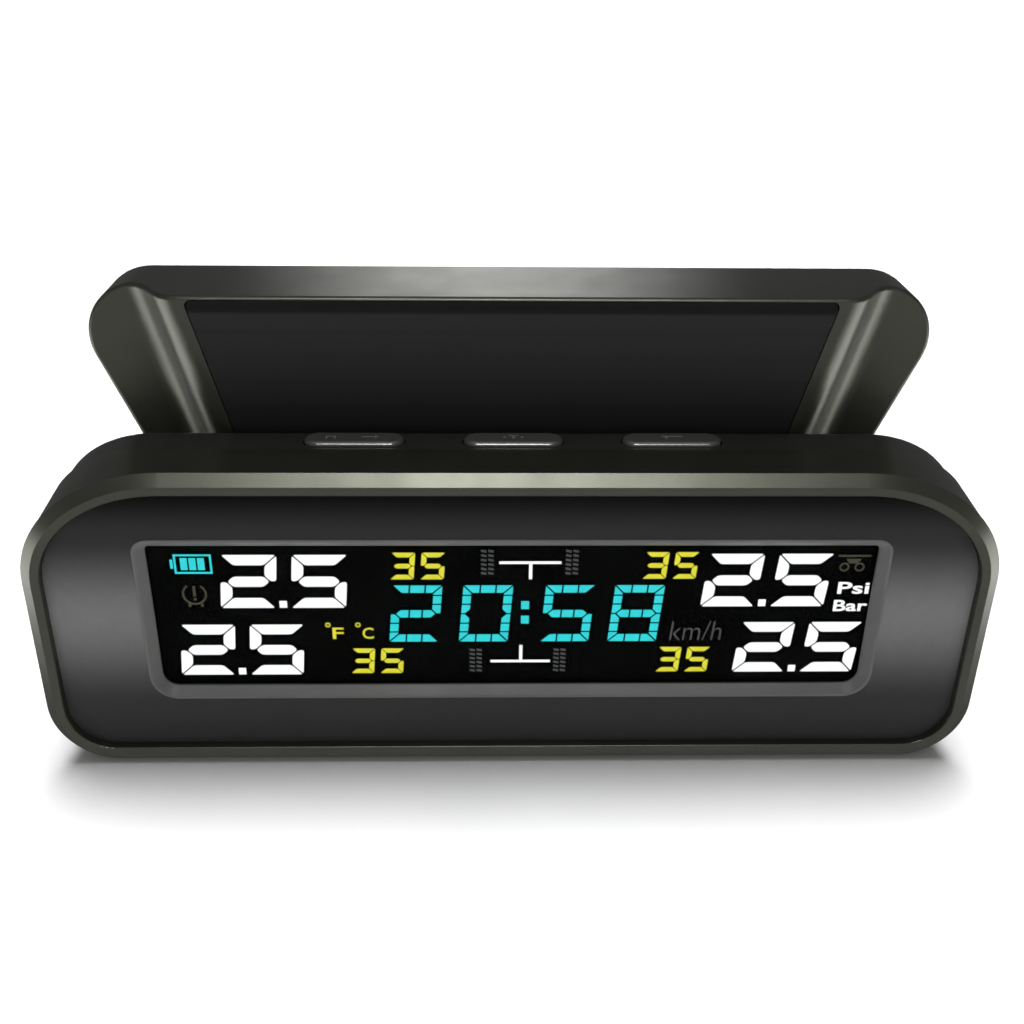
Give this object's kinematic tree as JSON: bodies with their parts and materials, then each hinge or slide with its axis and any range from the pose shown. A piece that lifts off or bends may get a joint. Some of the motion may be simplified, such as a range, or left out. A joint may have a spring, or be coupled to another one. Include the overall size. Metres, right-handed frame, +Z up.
{
  "type": "tire pressure monitor",
  "caption": "Dashboard tire pressure display with a wide window and top buttons, on a tilting base that carries a solar panel.",
  "frame": {"origin": "bottom centre of the whole part, on the surface that it stands on", "axes": "+X across the display to its right, +Z up, and the display faces -Y"},
  "size_m": [0.1138, 0.0316, 0.0547],
  "materials": {
    "housing": "satin dark olive grey",
    "face": "satin black",
    "lens": "clear",
    "display": "black glass with lit segments",
    "diffuser": "milky",
    "foil": "white film",
    "frame": "moulded white",
    "board": "green solder mask",
    "chip": "black epoxy",
    "steel": "plated",
    "cell": "wrapped pouch",
    "foam": "closed-cell foam",
    "key": "satin",
    "rubber": "matte",
    "solar": "dark coated glass",
    "wafer": "dark silicon"
  },
  "bodies": {
    "display": {"front_bezel": "housing", "face_panel": "face", "screen_lens": "lens", "lcd_panel": "display", "light_guide": "diffuser", "reflector_sheet": "foil", "lcd_frame": "frame", "main_board": "board", "board_chips": "chip", "usb_socket": "steel", "buzzer": "chip", "antenna": "steel", "battery_cell": "cell", "battery_pad": "foam", "key_board": "board", "switch_housings": "chip", "front_shell": "housing", "rear_cover": "housing", "case_screws": "steel", "board_screws": "steel", "hinge_screws": "steel", "foot_pads": "rubber", "hinge_pins": "steel", "hinge_caps": "housing", "hinge_cheek_left": "housing", "hinge_cheek_right": "housing"},
    "base": {"friction_washers": "steel", "base_front_shell": "housing", "base_back_cover": "housing", "solar_glass": "solar", "solar_cells": "wafer", "solar_backsheet": "foil", "base_screws": "steel", "grip_pad": "rubber"},
    "key_left": {"button_left": "key", "plunger_left": "chip"},
    "key_middle": {"button_middle": "key", "plunger_middle": "chip"},
    "key_right": {"button_right": "key", "plunger_right": "chip"}
  },
  "joints": [
    {"name": "base_tilt", "type": "hinge", "parent": "display", "child": "base", "pos_m": [0, 0.0084, 0.00735], "axis": [-1, 0, 0], "range_deg": [0, 90]},
    {"name": "press_left", "type": "slide", "parent": "display", "child": "key_left", "axis": [0, 0, -1], "range_m": [0, 0.0005], "stiffness_N_per_m": 900, "springref_m": -0.0006},
    {"name": "press_middle", "type": "slide", "parent": "display", "child": "key_middle", "axis": [0, 0, -1], "range_m": [0, 0.0005], "stiffness_N_per_m": 900, "springref_m": -0.0006},
    {"name": "press_right", "type": "slide", "parent": "display", "child": "key_right", "axis": [0, 0, -1], "range_m": [0, 0.0005], "stiffness_N_per_m": 900, "springref_m": -0.0006}
  ]
}
